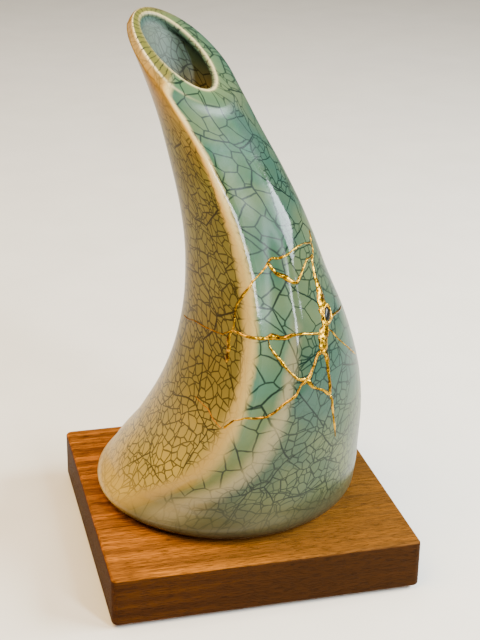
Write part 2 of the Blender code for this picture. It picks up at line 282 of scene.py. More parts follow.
# The form at shares of the height. Angles and spreads are in degrees, with 0 at the side away from the lean,
# and the rest are shares of the height too
STATIONS = np.array((0.0, 0.02, 0.075, 0.17, 0.29, 0.445, 0.60, 0.76, 0.915, 1.0))
FORM = {
    "lean": (0.012, 0.014, -0.005, -0.045, -0.084, -0.094, -0.061, -0.002, 0.082, 0.134),
    "long": (0.272, 0.297, 0.300, 0.269, 0.234, 0.197, 0.166, 0.155, 0.150, 0.155),
    "cross": (0.269, 0.297, 0.276, 0.258, 0.232, 0.183, 0.150, 0.133, 0.124, 0.124),
    "tilt": (0, 0, 0, 0, 1, 4, 10, 18, 31, 38.5),
    "ridge": (0.0, 0.001, 0.007, 0.014, 0.016, 0.016, 0.014, 0.014, 0.012, 0.007),
    "ridge_angle": (-112, -108, -96, -77, -69, -65.5, -61, -60.5, -60.5, -68),
    "ridge_spread": (16, 16, 15, 13, 13, 14, 16, 17, 18, 18),
    "shoulder": (0.0, 0.001, 0.005, 0.008, 0.009, 0.009, 0.008, 0.007, 0.004, 0.0),
    "shoulder_angle": (-92, -89, -80, -58, -47.5, -39, -25.5, -10, 0, 5),
    "shoulder_spread": (12, 12, 12, 12, 14, 16, 18, 20, 20, 20),
    "channel": (0.0, 0.001, 0.004, 0.006, 0.008, 0.010, 0.012, 0.009, 0.005, 0.0),
    "channel_spread": (10, 10, 10, 9, 10, 12, 14, 18, 20, 20),
    "hollow": (0.0, 0.0, 0.007, 0.016, 0.016, 0.014, 0.012, 0.009, 0.005, 0.0),
}
HOLLOW_BEHIND_RIDGE = 50
HOLLOW_SPREAD = 38
PINCH = 0.725  # how straight the main ridge falls away from its crest, and how far the crest is rounded
PINCH_ROUNDING = 0.12
PINCH_END = 0.25
COLUMNS = 240
FOOT_ROWS = 7
BODY_ROWS = 175
WALL_ROWS = 76
CROWDING = 0.4  # of the columns towards the front, where the ridges are
CROWDED_ANGLE = -60.0
SLOPE_STEP = 0.003
UNWRAP_WIDTH = 0.42  # of clay to the width of the glaze's own map
UNWRAP_HEIGHT = 0.66


def along(values, share):
    """Values at height shares on a smooth curve through the values at the stations."""
    values = np.array(values, float)
    steps = np.diff(STATIONS)
    slopes = np.diff(values) / steps
    inner = (slopes[:-1] * steps[1:] + slopes[1:] * steps[:-1]) / (steps[1:] + steps[:-1])
    tangents = np.concatenate(([slopes[0]], inner, [slopes[-1]]))
    i = np.clip(np.searchsorted(STATIONS, share, side="right") - 1, 0, len(steps) - 1)
    u = (share - STATIONS[i]) / steps[i]
    return (
        (1 + 2 * u) * (1 - u) ** 2 * values[i]
        + u * (1 - u) ** 2 * steps[i] * tangents[i]
        + u * u * (3 - 2 * u) * values[i + 1]
        + u * u * (u - 1) * steps[i] * tangents[i + 1]
    )


def ring_frame(share):
    """Middles of rings, and their long and cross axes."""
    tilt = np.radians(along(FORM["tilt"], share))
    lean = VASE_HEIGHT * along(FORM["lean"], share)
    left, back = math.cos(LEAN_DIRECTION), math.sin(LEAN_DIRECTION)
    middle = np.stack((-left * lean, back * lean, VASE_HEIGHT * share), -1) + VASE_PLACE
    downhill = np.stack((left * np.cos(tilt), -back * np.cos(tilt), -np.sin(tilt)), -1)
    across = np.stack((np.full_like(tilt, back), np.full_like(tilt, left), np.zeros_like(tilt)), -1)
    return middle, downhill, across


def away(angle, peak, spread):
    """How many spreads lie between an angle and a peak."""
    return np.abs((angle - peak + 180) % 360 - 180) / spread


def swell(angle, peak, spread):
    """1 at an angle's peak, with a soft fall to 0 on both sides."""
    return np.exp(-(away(angle, peak, spread) ** 2))


def pinched(angle, peak, spread):
    """A swell drawn up between finger and thumb to a sharper crest."""
    x = away(angle, peak, spread)
    return np.exp(-PINCH * (np.hypot(x, PINCH_ROUNDING) - PINCH_ROUNDING) - PINCH_END * x**2)


def clay(share, angle):
    """Points of the outer surface from arrays of height shares and angles."""
    share, angle = np.broadcast_arrays(np.asarray(share, float), np.asarray(angle, float))
    middle, downhill, across = ring_frame(share)
    at = {name: along(values, share) for name, values in FORM.items()}
    half_long, half_cross = VASE_HEIGHT * at["long"], VASE_HEIGHT * at["cross"]
    turn = np.radians(angle)
    out_x, out_y = half_cross * np.cos(turn), half_long * np.sin(turn)
    size = np.hypot(out_x, out_y)
    raised = VASE_HEIGHT * (
        at["ridge"] * pinched(angle, at["ridge_angle"], at["ridge_spread"])
        + at["shoulder"] * swell(angle, at["shoulder_angle"], at["shoulder_spread"])
        - at["channel"] * swell(angle, (at["ridge_angle"] + at["shoulder_angle"]) / 2, at["channel_spread"])
        - at["hollow"] * swell(angle, at["ridge_angle"] - HOLLOW_BEHIND_RIDGE, HOLLOW_SPREAD)
    )
    x = half_long * np.cos(turn) + raised * out_x / size
    y = half_cross * np.sin(turn) + raised * out_y / size
    return middle + x[..., None] * downhill + y[..., None] * across


def slopes(share, angle):
    """How the surface moves per unit of share and per degree, and the way straight out of it."""
    low, high = np.maximum(share - SLOPE_STEP, 0), np.minimum(share + SLOPE_STEP, 1)
    up = (clay(high, angle) - clay(low, angle)) / np.asarray(high - low)[..., None]
    round_ring = clay(share, angle + 0.5) - clay(share, angle - 0.5)
    out = np.cross(round_ring, up)
    return up, round_ring, out / np.linalg.norm(out, axis=-1, keepdims=True)


def mouth(angle, inset, drop, share=1.0):
    """Points on the mouth's outline, drawn in by inset and lowered by drop."""
    middle, downhill, across = ring_frame(np.full_like(angle, share))
    inset = inset - TIP_WIDENING * swell(angle, TIP_ANGLE, TIP_SPREAD)
    turn = np.radians(angle)
    x = (VASE_HEIGHT * FORM["long"][-1] - RIM_AT_ENDS - inset) * np.cos(turn) - MOUTH_TO_TIP
    y = (VASE_HEIGHT * FORM["cross"][-1] - RIM_AT_SIDES - inset) * np.sin(turn) - MOUTH_TO_FRONT
    up = np.cross(downhill, across)
    return middle + x[:, None] * downhill + y[:, None] * across + (RIM_RISE - drop) * up


turns = CROWDED_ANGLE + 180 + np.linspace(0, 360, COLUMNS + 1)
angles = turns - math.degrees(CROWDING) * np.sin(np.radians(turns - CROWDED_ANGLE))
rows = []  # each is a ring of points, and what the glaze has to know of it


def add_row(points, share, inside=0.0, lip=0.0, bare=0.0, rim=0.0, crease=0.0):
    known = {"share": share, "inside": inside, "lip": lip, "bare": bare, "rim": rim, "crease": crease}
    rows.append((points, {name: np.broadcast_to(value, angles.shape) for name, value in known.items()}))


foot = clay(0.0, angles)
foot_middle = foot[:-1].mean(axis=0)
arm = foot - foot_middle
reach = np.linalg.norm(arm, axis=1, keepdims=True)
recess_edge = foot_middle + arm * (1 - FOOT_RING_WIDTH / reach)
up_recess = np.array((0, 0, FOOT_RECESS))
for grow in (0.0, 0.35, 0.7, 0.97):
    add_row(foot_middle + (recess_edge - foot_middle) * grow + up_recess, 0.0, bare=1.0)
for back, lift in ((1.0, 0.75), (0.93, 0.3), (0.8, 0.0), (0.2, 0.0), (0.06, 0.04)):
    add_row(foot_middle + arm * (1 - back * FOOT_RING_WIDTH / reach) + lift * up_recess, 0.0, bare=1.0)
for share in np.concatenate((np.linspace(0.002, 0.02, FOOT_ROWS), np.linspace(0.026, 1.0, BODY_ROWS))):
    add_row(clay(share, angles), share, bare=float(np.clip((0.012 - share) / 0.006, 0, 1)))

# The rim is a soft dome on the right, and a flat band with a creased outer edge on the left and at the tip.
# The crease is points of (way in, height) as shares of the rim's width and rise
CREASE = ((0.0, 0.0), (0.20, 0.75), (0.27, 1.22), (0.30, 1.33), (0.34, 1.33), (0.55, 1.18), (1.0, 1.0))
CREASE_ANGLE = -122
CREASE_SPREAD = 50
CREASE_STRENGTH = 1.25
CREASE_PLACE = 0.29
CREASE_WIDTH = 0.05
CREASE_EASE = 0.06
LIP_BAND = 0.92
RIM_STEPS = 22
outer, edge = clay(1.0, angles), mouth(angles, 0, RIM_RISE)
rim_up = np.cross(*ring_frame(np.array(1.0))[1:])
creased = np.clip(CREASE_STRENGTH * swell(angles, CREASE_ANGLE, CREASE_SPREAD), 0, 1)[:, None]
for i in range(1, RIM_STEPS + 1):
    u = i / RIM_STEPS
    dome_in, dome_up = 1 - math.cos(math.pi / 2 * u), math.sin(math.pi / 2 * u)
    crease_in = float(np.interp(u, np.linspace(0, 1, len(CREASE)), [c[0] for c in CREASE]))
    crease_up = float(np.interp(crease_in, [c[0] for c in CREASE], [c[1] for c in CREASE]))
    go_in = dome_in + (crease_in - dome_in) * creased
    go_up = dome_up + (crease_up - dome_up) * creased
    lip = np.clip((dome_in - LIP_BAND) / (1 - LIP_BAND), 0, 1) * (1 - 0.9 * creased[:, 0])
    past_crease = np.clip((go_in[:, 0] - CREASE_PLACE + CREASE_EASE) / CREASE_EASE, 0, 1)
    rim = past_crease * creased[:, 0] + go_in[:, 0] * (1 - creased[:, 0])
    crease = np.exp(-(((go_in[:, 0] - CREASE_PLACE) / CREASE_WIDTH) ** 2)) * creased[:, 0]
    add_row(outer + (edge - outer) * go_in + RIM_RISE * go_up * rim_up, 1.0, lip=lip, rim=rim, crease=crease)
LIP_STEPS = 7
for i in range(1, LIP_STEPS + 1):
    q = math.pi / 2 * i / LIP_STEPS
    ring = mouth(angles, LIP_RADIUS * math.sin(q), LIP_RADIUS * (1 - math.cos(q)))
    lip = max(0, 1 - 1.8 * i / LIP_STEPS) * (1 - 0.75 * creased[:, 0])
    add_row(ring, 1.0, inside=i / LIP_STEPS, lip=lip, rim=1.0)
for height in np.linspace(VASE_HEIGHT - LIP_BELOW, LAST_WALL_HEIGHT, WALL_ROWS):
    share = height / VASE_HEIGHT
    u = min((VASE_HEIGHT - height) / THROAT, 1)
    widened = u * u * (3 - 2 * u)
    wall = clay(share, angles) - WALL * slopes(np.full_like(angles, share), angles)[2]
    throat = mouth(angles, LIP_RADIUS, RIM_RISE, share)
    add_row(throat + (wall - throat) * widened, share, inside=1.0)
floor_share = FLOOR_THICKNESS / VASE_HEIGHT
wall = clay(floor_share, angles)
floor_middle = ring_frame(np.array(floor_share))[0]
inward = floor_middle - wall
inward *= FLOOR_MARGIN / np.linalg.norm(inward, axis=1, keepdims=True)
FLOOR_RINGS = (0.0, 0.1, 0.4, 0.7, 1.0)
for shrink in FLOOR_RINGS:
    ring = (wall + inward) * (1 - shrink) + floor_middle * shrink
    add_row(ring, floor_share, inside=1.0)

skin = np.array([row[0] for row in rows])
shares = np.array([row[1]["share"][0] for row in rows])
# Slight unevenness left by the maker's fingers, from above the foot to the hollow's floor
FIRST_UNEVEN = 13
UNEVENNESS = 0.0003
MARKS_A_METRE = 42.0
noise.seed_set(7)
for i, ring in enumerate(skin[FIRST_UNEVEN:-len(FLOOR_RINGS)], start=FIRST_UNEVEN):
    for j in range(COLUMNS):
        skin[i, j] += UNEVENNESS * np.array(noise.noise_vector(Vector(ring[j]) * MARKS_A_METRE))
    skin[i, -1] = skin[i, 0]

# The maker's sponge rounds the rim into the neck, except along the crease
SPONGE_STROKES = 24
SPONGED_BELOW = 6  # rows of the neck and of the rim that the sponge reaches
SPONGED_ABOVE = 9
last_outer = int(np.argmax(shares >= 1.0))
for _ in range(SPONGE_STROKES):
    near = skin[last_outer - SPONGED_BELOW - 1:last_outer + SPONGED_ABOVE + 1]
    pull = (near[:-2] + near[2:]) / 2 - near[1:-1]
    skin[last_outer - SPONGED_BELOW:last_outer + SPONGED_ABOVE] += 0.5 * pull * (1 - creased)

round_steps = np.linalg.norm(np.diff(skin, axis=1), axis=2)
round_way = np.concatenate((np.zeros((len(rows), 1)), np.cumsum(round_steps, axis=1)), axis=1)
# Cracks run straight in over the rim, so the rim and the top of the throat are mapped like the ring outside
EASED_ROWS = 30
past_lip = np.arange(len(rows)) - last_outer - RIM_STEPS - LIP_STEPS
over_rim = np.clip(1 - past_lip / EASED_ROWS, 0, 1)[:, None]
over_rim[:last_outer] = 0
round_way += over_rim * (round_way[last_outer] - round_way)
girth = round_way[:, -1]
up_steps = np.linalg.norm(np.diff(skin, axis=0), axis=2).mean(axis=1)
up_way = np.concatenate(([0], np.cumsum(up_steps)))


def way_to(peaks):
    """How far round each ring an angle lies."""
    return np.array([np.interp(peak + 360, angles, ring) for peak, ring in zip(peaks, round_way)])


way_to_ridge = way_to(along(FORM["ridge_angle"], shares))
way_to_shoulder = way_to(along(FORM["shoulder_angle"], shares))
way_to_front = way_to(np.full(len(rows), CROWDED_ANGLE))

bm = bmesh.new()
bmesh.ops.create_grid(bm, x_segments=COLUMNS, y_segments=len(rows) - 1, size=0.5)
bm.verts.ensure_lookup_table()
unwrap = bm.loops.layers.uv.new("glaze_map")
ways = {"girth": girth, "to_ridge": way_to_ridge, "to_shoulder": way_to_shoulder, "to_front": way_to_front}
marks = {name: bm.verts.layers.float.new(name) for name in (*rows[0][1], *ways)}
spots = {}
for vert in bm.verts:
    column = round((vert.co.x + 0.5) * COLUMNS)
    row = round((vert.co.y + 0.5) * (len(rows) - 1))
    spots[vert] = (row, column)
    vert.co = skin[row, column]
    for name, values in rows[row][1].items():
        vert[marks[name]] = values[column]
    for name, values in ways.items():
        vert[marks[name]] = values[row]
for face in bm.faces:
    for loop in face.loops:
        row, column = spots[loop.vert]
        loop[unwrap].uv = (round_way[row, column] / UNWRAP_WIDTH, up_way[row] / UNWRAP_HEIGHT)
bmesh.ops.remove_doubles(bm, verts=bm.verts, dist=1e-7)
bmesh.ops.dissolve_degenerate(bm, edges=bm.edges, dist=1e-7)
bmesh.ops.recalc_face_normals(bm, faces=bm.faces)

# Widths are in millimetres, as the places in the glaze are
FIRST_CELLS = 24.0
SECOND_CELLS = 10.6
THIRD_CELLS = 4.3
CELL_JUMP = (731.0, 617.0, 0.0)
RIM_CRACK_SPACING = 3.8
BACK_WANDER = 30.0
DRIFT = (6.0, 6.0, 0.0)
QUIVER = (1.0, 1.0, 0.0)
GLAZE_RELIEF = 0.0002
GREEN = srgb(40, 67, 56)
LOW_GREEN = srgb(56, 71, 54)
# Channel greens, painted darker at the top and paler lower down as light and shade
POOLED_GREEN = srgb(62, 100, 84)
TOP_POOLED_GREEN = srgb(30, 74, 56)
LOW_POOLED_GREEN = srgb(92, 98, 52)
# The flank's ochre is partly painted warm lamp light, darker at the top and paler low down as painted shade
# and light
OCHRE = srgb(102, 88, 32)
TOP_OCHRE = srgb(90, 80, 24)
LOW_OCHRE = srgb(166, 144, 64)
TIP_TAN = srgb(144, 108, 46)
OLIVE = srgb(112, 112, 60)
DEEP_OLIVE = srgb(46, 62, 36)
PALE_RIDGE = srgb(168, 143, 84)
TOP_RIDGE_LEFT = srgb(182, 141, 66)
TOP_RIDGE_RIGHT = srgb(203, 180, 120)
LOW_RIDGE = srgb(156, 130, 68)
PALE_SHOULDER = srgb(148, 136, 104)
# The foot's brown is painted shade
SHADED_FOOT_BROWN = srgb(66, 54, 32)
FOOT_OCHRE = srgb(176, 146, 72)
RIM_GREEN = srgb(82, 102, 66)
RIM_OLIVE = srgb(102, 95, 26)
THROAT_OLIVE = srgb(118, 100, 48)
THROAT_GREEN = srgb(44, 72, 68)
CREASE_CREAM = srgb(236, 214, 160)
LIP_CREAM = srgb(216, 194, 138)
GREEN_STAIN = srgb(8, 20, 18)
BROWN_STAIN = srgb(20, 14, 1)
DARK_CLAY = srgb(128, 98, 62)
LIGHT_CLAY = srgb(164, 132, 92)

glaze, shader, tone, place = finish("crackled_celadon")


def mark(name, scale=1.0):
    """What a point of the vase knows of itself."""
    return tone.node("ShaderNodeAttribute", {"attribute_name": name}, out=2) * scale


share, inside, lip, bare = mark("share"), mark("inside"), mark("lip"), mark("bare")
rim, crease = mark("rim"), mark("crease")
girth = mark("girth", MM)
flat = tone.node("ShaderNodeUVMap", {"uv_map": "glaze_map"}).parts()
way = flat[0] * (UNWRAP_WIDTH * MM)
height = flat[1] * (UNWRAP_HEIGHT * MM)
# Millimetres round the vase from the crest of each ridge, with the channel between them
ridge = way - mark("to_ridge", MM)
shoulder = way - mark("to_shoulder", MM)
from_back = (way / girth).rise(0.0, 0.19)
# The map's two ends meet at the back, in one long crack that wanders
wander = (tone.cloud(place, 0.05, 2.0) - 0.5) * BACK_WANDER
back_gap = abs(way - girth + wander).least(abs(way + wander))
way = way - girth * (way > girth - wander) + girth * (1 - (way > 0 - wander))
drift = tone.cloud(place, 0.04, 1.0, out=1)
drift = tone.vector("MULTIPLY", tone.vector("SUBTRACT", drift, (0.5, 0.5, 0.5)), DRIFT)
quiver = tone.cloud(place, 0.25, 1.0, out=1)
quiver = tone.vector("MULTIPLY", tone.vector("SUBTRACT", quiver, (0.5, 0.5, 0.5)), QUIVER)
web = tone.vector("ADD", tone.vector("ADD", tone.joined(way - mark("to_front", MM), height), drift), quiver)


def cells(web, width, stretch=1.0, loose=0.9):
    """Distance to the nearest crack in millimetres, and each cell's own random colour."""
    fitted = web.vector("MULTIPLY", web, (1 / width, 1 / (width * stretch), 0.0))
    inputs = {"Vector": fitted, "Scale": 1.0, "Randomness": loose}
    settings = {"voronoi_dimensions": "2D", "feature": "DISTANCE_TO_EDGE"}
    gap = web.node("ShaderNodeTexVoronoi", settings, inputs) * width
    settings["feature"] = "F1"
    own = web.node("ShaderNodeTexVoronoi", settings, inputs, out="Color")
    return gap, own


def inner_web(web, own):
    """The web moved by a random step in each cell, so that finer cracks stop at the coarser ones."""
    return web.vector("ADD", web, web.vector("MULTIPLY", own, CELL_JUMP))


first_gap, first = cells(web, FIRST_CELLS, 1.3)
second_web = inner_web(web, first)
second_gap, second = cells(second_web, SECOND_CELLS)
third_web = inner_web(second_web, second)
third_gap, third = cells(third_web, THIRD_CELLS, 1.2)

# Masks of the glaze's parts, from 0 to 1
patch = tone.cloud(place, 0.035, 2.0)
rough_edge = tone.cloud(place, 0.16, 2.0) - 0.5
outside = (1 - inside) * (1 - rim)
spread = 14.0 * share.rise(0.17, 0.03)
left = ridge.rise(1.5 + spread, -2.5 - spread) * from_back
low = share.rise(0.42, 0.12)
top = share.rise(0.62, 0.85)
crest = abs(ridge + 0.8 + 3.0 * rough_edge).rise(5.4 - 1.0 * top + 4.6 * low, 1.2)
crest = crest * share.rise(0.0, 0.07) * outside
second_crest = abs(shoulder + 4.0 * rough_edge).rise(4.6 + 6.0 * low + 12.0 * share.rise(0.15, 0.04), 0.6)
second_crest = second_crest * share.rise(0.0, 0.07) * share.rise(0.60, 0.36) * outside
channel = ridge.rise(0.0, 4.0) * shoulder.rise(1.0, -3.0)
pale = crest.most(second_crest * 0.75)
foot = share.rise(0.15, 0.01) * outside

# Colours, from the broad areas to the edges
celadon = tone.blend(low, GREEN, LOW_GREEN)
# The channel's green is painted darker at the top, under the window's reflection, and paler lower down,
# where shade falls
pooled = tone.blend(share.rise(0.52, 0.68), POOLED_GREEN, TOP_POOLED_GREEN)
celadon = tone.blend(channel * 0.85, celadon, tone.blend(low, pooled, LOW_POOLED_GREEN))
# The left flank's ochre is partly the glaze's own colour and partly painted warm light from the lamp on the
# left. It is painted darker near the neck and paler towards the foot, as shade and light.
ochre = tone.blend(share.rise(0.75, 0.4), TOP_OCHRE, OCHRE)
ochre = tone.blend(low, ochre, LOW_OCHRE)
body = tone.blend(left * (1 - rim), celadon, ochre)
tip = share.rise(0.80, 0.96) * left * (1 - rim)
body = tone.blend(tip * 0.85, body, TIP_TAN)
body = tone.blend(patch.rise(0.35, 0.7) * 0.3, body, OLIVE)
depth = second.parts()[0] * 0.6 + third.parts()[0] * 0.4
body = tone.blend(depth * 0.2, body, DEEP_OLIVE)
bright = tone.blend(ridge.rise(-3.5, 0.0), TOP_RIDGE_LEFT, TOP_RIDGE_RIGHT)
bright = tone.blend(top, PALE_RIDGE, bright)
body = tone.blend(crest * 0.9, body, tone.blend(low, bright, LOW_RIDGE))
body = tone.blend(second_crest * (0.6 + 0.25 * foot), body, PALE_SHOULDER)
# The foot band is painted dark brown as shade low on the vase, and ochre on its left, partly as the warm
# lamp's light
body = tone.blend(foot * (0.8 - 0.4 * second_crest), body, tone.blend(left, SHADED_FOOT_BROWN, FOOT_OCHRE))
body = tone.blend(rim * 0.7, body, tone.blend(left, RIM_GREEN, RIM_OLIVE))
throat = tone.blend(place.parts()[2].rise(214.0, 240.0), THROAT_OLIVE, THROAT_GREEN)
body = tone.blend(inside * 0.85, body, throat)
body = tone.blend(crease * 0.9, body, CREASE_CREAM)
body = tone.blend(lip * 0.7, body, LIP_CREAM)

# Stained cracks, finer and closer where the glaze is thin, and faint on the pale edges
busy = (left * (1 - rim)).most(low * 0.8) * (1 - channel * 0.9)
clear = (1 - pale * 0.9) * (1 - foot * 0.75) * (1 - lip * 0.95) * (1 - tip * tip * 0.6)
split = busy.most((second.parts()[2] + 0.12 - 0.7 * channel).rise(0.55, 0.60))
bold = 1 + 0.4 * channel
first_line = first_gap.least(back_gap).rise(0.47 * bold, 0.17)
second_line = second_gap.rise(0.43 * bold, 0.15)
third_line = third_gap.rise(0.44, 0.17) * split
stain = tone.blend(left * (1 - rim), GREEN_STAIN, BROWN_STAIN)
lines = first_line.most(second_line * 0.92).most(third_line * 0.85)
# Short cracks run side by side straight in over the flat part of the rim
spaced = way / RIM_CRACK_SPACING + 1.6 * rough_edge
rim_gap = abs(tone.math("FRACT", spaced) - 0.5) * RIM_CRACK_SPACING
flat_rim = rim * left
lines = lines * (1 - flat_rim) + rim_gap.rise(0.44, 0.16) * flat_rim
body = tone.blend(lines * clear * 0.92, body, stain)
clay_grain = tone.cloud(place, 1.4, 4.0, 0.7)
clay_body = tone.blend(clay_grain, DARK_CLAY, LIGHT_CLAY)
feed(shader, "Base Color", tone.blend(bare, body, clay_body))
# The glaze is glossy on the ridges and softer in the channel, near the mouth and on both flanks
satin = (ridge.rise(3.5, 6.5) * shoulder.rise(-1.0, -4.0)).most(share.rise(0.84, 0.92))
satin = satin.most(left).most(shoulder.rise(9.0, 20.0))
sheen = abs(shoulder - 1.0).rise(12.0, 4.0) * 0.02
feed(shader, "Roughness", 0.06 + 0.04 * patch + sheen + 0.22 * satin + 0.25 * inside + 0.6 * bare)
shader.inputs["Specular IOR Level"].default_value = 0.20
ripple = tone.cloud(place, 0.22, 2.0)
relief(shader, ripple * (1 - bare) * 0.45 + bare * clay_grain, GLAZE_RELIEF)
piece("glazed_vase", bm, glaze, "vase")


# The vase was broken and put together again. Lacquer fills each joint and stands a little proud of the
# glaze, and gold powder is laid on it while it is wet, so the seams are uneven and shine in small facets.
SEAM_SKIRT = 0.0004
SEAM_STEP = 0.0007
SEAM_PROUD = 0.00022
PROUD_TO_WIDTH = 0.28
WIDEST_PROUD = 0.0014
SEAM_END = 2.2  # steps over which a seam runs out
# A seam's section as points of (half widths across, share of its height), with its skirt below 0
SEAM_SECTION = (
    (-1.0, -1.0), (-1.0, 0.0), (-0.8, 0.5), (-0.45, 0.88), (0.0, 1.0),
    (0.45, 0.88), (0.8, 0.5), (1.0, 0.0), (1.0, -1.0),
)
# Each seam is points of (height share, angle, width in millimetres)
SEAMS = {
    "top_line": ((0.696, 24.5, 0.6), (0.684, 20, 1.0), (0.674, 17, 1.2)),
    "upper": (
        (0.674, 17, 1.0), (0.688, 1, 0.8), (0.688, -7.5, 0.8), (0.682, -16, 0.8), (0.672, -22.5, 1.0),
        (0.664, -30, 1.1), (0.662, -35.5, 1.0), (0.652, -40.5, 1.2),
    ),
    "upper_right": ((0.674, 17, 0.8), (0.662, 14.5, 0.8), (0.652, 11.5, 1.2)),
    "zigzag": (
        (0.652, 11.5, 1.2), (0.652, -2.5, 1.1), (0.636, -11, 1.1), (0.618, -18.5, 1.2), (0.61, -22, 1.7),
    ),
    "hook": (
        (0.61, -22, 2.0), (0.622, -28.5, 2.6), (0.63, -35.5, 1.6), (0.64, -39, 1.2), (0.652, -40.5, 1.2),
    ),
    "ridge_run": (
        (0.652, -40.5, 0.9), (0.642, -43, 0.9), (0.628, -49, 0.8), (0.61, -56.5, 1.0), (0.58, -64.5, 1.7),
        (0.55, -72.5, 1.3), (0.532, -74.5, 0.8), (0.506, -76, 0.8), (0.492, -77.5, 1.2),
    ),
    "left_line": (
        (0.492, -77.5, 0.8), (0.474, -86, 0.8), (0.472, -91, 0.6), (0.468, -103, 0.6), (0.464, -118, 0.4),
        (0.454, -128.5, 0.4), (0.45, -138.5, 0.4),
    ),
    "drip": (
        (0.492, -77.5, 1.2), (0.482, -79.5, 1.1), (0.468, -81.5, 2.7), (0.460, -81, 1.6),
        (0.450, -80.5, 2.8), (0.440, -80.8, 1.7), (0.430, -81, 2.7), (0.420, -81.2, 0.8),
    ),
    "crossing": (
        (0.492, -77.5, 1.2), (0.49, -69.5, 1.2), (0.49, -65.5, 1.4), (0.488, -56, 1.5), (0.492, -50.5, 2.7),
        (0.492, -42, 2.0), (0.5, -36.5, 1.4), (0.502, -29, 1.4), (0.496, -19.5, 1.1), (0.49, -11.5, 1.5),
    ),
    "band": (
        (0.652, 11.5, 1.2), (0.644, 6.5, 1.4), (0.62, 3, 1.9), (0.606, 2, 2.7), (0.588, 2, 3.4),
        (0.574, 1, 4.6), (0.556, -0.5, 5.9), (0.538, -1, 7.3), (0.516, -5, 7.0), (0.498, -8, 5.9),
        (0.486, -12, 5.7), (0.468, -13.5, 5.4), (0.454, -16.5, 4.6),
    ),
    "left_fork": (
        (0.454, -16.5, 2.7), (0.448, -20.5, 1.4), (0.436, -23, 1.3), (0.406, -28, 1.4), (0.398, -30.5, 2.9),
    ),
    "right_fork": (
        (0.454, -16.5, 3.8), (0.446, -13, 2.7), (0.412, -13.5, 1.7), (0.378, -13, 1.5), (0.348, -13.5, 1.9),
    ),
    "fork_link": ((0.398, -30.5, 2.4), (0.378, -26, 1.4), (0.364, -18.5, 1.4), (0.348, -13.5, 1.7)),
    "tail": (
        (0.348, -13.5, 1.6), (0.336, -12, 1.3), (0.302, -11.5, 1.2), (0.282, -10.5, 1.2), (0.236, -8.5, 0.4),
    ),
    "up_from_knot": (
        (0.398, -30.5, 2.4), (0.404, -36.5, 1.1), (0.424, -42.5, 1.1), (0.444, -47, 1.5), (0.456, -50, 1.3),
        (0.47, -53, 0.7), (0.488, -53.5, 0.5),
    ),
    "down_from_knot": (
        (0.398, -30.5, 2.2), (0.388, -34.5, 1.1), (0.368, -37.5, 1.1), (0.352, -43.5, 1.2), (0.33, -49, 1.1),
        (0.32, -52.5, 1.1), (0.316, -58, 1.1), (0.316, -64, 1.1), (0.31, -69, 1.0), (0.286, -73.5, 2.4),
    ),
    "low_left": ((0.286, -73.5, 1.2), (0.298, -80.5, 0.7), (0.314, -86, 0.6), (0.326, -99, 0.3)),
    "right_up": (
        (0.512, -5.5, 1.9), (0.51, 0.5, 1.9), (0.516, 6.5, 1.4), (0.51, 23, 1.0), (0.508, 30, 0.8),
    ),
    "right_down": (
        (0.498, -8, 1.4), (0.488, -2.5, 1.0), (0.462, 3, 0.8), (0.418, 16.5, 0.8), (0.39, 26, 0.6),
    ),
}
STONE_TOP = (0.540, 2.0)
STONE_FOOT = (0.510, -4.5)
STONE_LENGTH = 0.0076
STONE_WIDTH = 0.0046
STONE_PROUD = 0.0011
BEZEL = 0.0006
BEZEL_LIFT = 0.0003
GOLD_RELIEF = 0.0005


def seam_stations(points):
    """Points a step apart along a seam, as height shares, angles and half widths in metres."""
    points = np.array(points, float)
    at = clay(points[:, 0], points[:, 1])
    way = np.concatenate(([0], np.cumsum(np.linalg.norm(np.diff(at, axis=0), axis=1))))
    count = max(4, math.ceil(way[-1] / SEAM_STEP))
    steps = np.linspace(0, way[-1], count + 1)
    share, angle, width = [np.interp(steps, way, points[:, i]) for i in range(3)]
    return share, angle, width / 2 / MM


def lay_seam(bm, points, seed):
    """A lumpy strip that hugs the glaze, closed at both ends."""
    share, angle, half = seam_stations(points)
    up, round_ring, out = slopes(share, angle)
    middle = clay(share, angle)
    ahead = np.gradient(middle, axis=0)
    ahead /= np.linalg.norm(ahead, axis=1, keepdims=True)
    side = np.cross(ahead, out)
    ring = None
    for i in range(len(share)):
        basis = np.stack((up[i], round_ring[i]), axis=1)
        per_metre = np.linalg.lstsq(basis, side[i], rcond=None)[0]
        lump = noise.noise(Vector((i * 0.35, seed, 0))) * 0.30
        lump += noise.noise(Vector((i * 0.11, seed, 5))) * 0.25
        shift = half[i] * 0.35 * noise.noise(Vector((i * 0.16, seed, 9)))
        taper = min(1, (min(i, len(share) - 1 - i) + 0.6) / SEAM_END)
        wide = half[i] * (1 + lump) * taper
        proud = (SEAM_PROUD + PROUD_TO_WIDTH * min(wide, WIDEST_PROUD)) * taper
        places = []
        for k, (x, h) in enumerate(SEAM_SECTION):
            off = shift + x * wide
            s, a = share[i] + per_metre[0] * off, angle[i] + per_metre[1] * off
            bump = 1 + 0.35 * noise.noise(Vector((i * 0.5, seed + 20, k * 0.6)))
            lift = -SEAM_SKIRT if h < 0 else proud * h * bump
            places.append(Vector(clay(s, a) + lift * out[i]))
        if ring is None:
            ring = bmesh.ops.create_circle(bm, segments=len(places), radius=1, cap_ends=True)["verts"]
        else:
            edges = [bm.edges.get((ring[k - 1], ring[k])) for k in range(len(ring))]
            made = bmesh.ops.extrude_edge_only(bm, edges=edges)["geom"]
            new = {v for v in made if isinstance(v, bmesh.types.BMVert)}
            ring = [next(e.other_vert(v) for e in v.link_edges if e.other_vert(v) in new) for v in ring]
        for vert, spot in zip(ring, places):
            vert.co = spot
    bm.faces.new(ring)


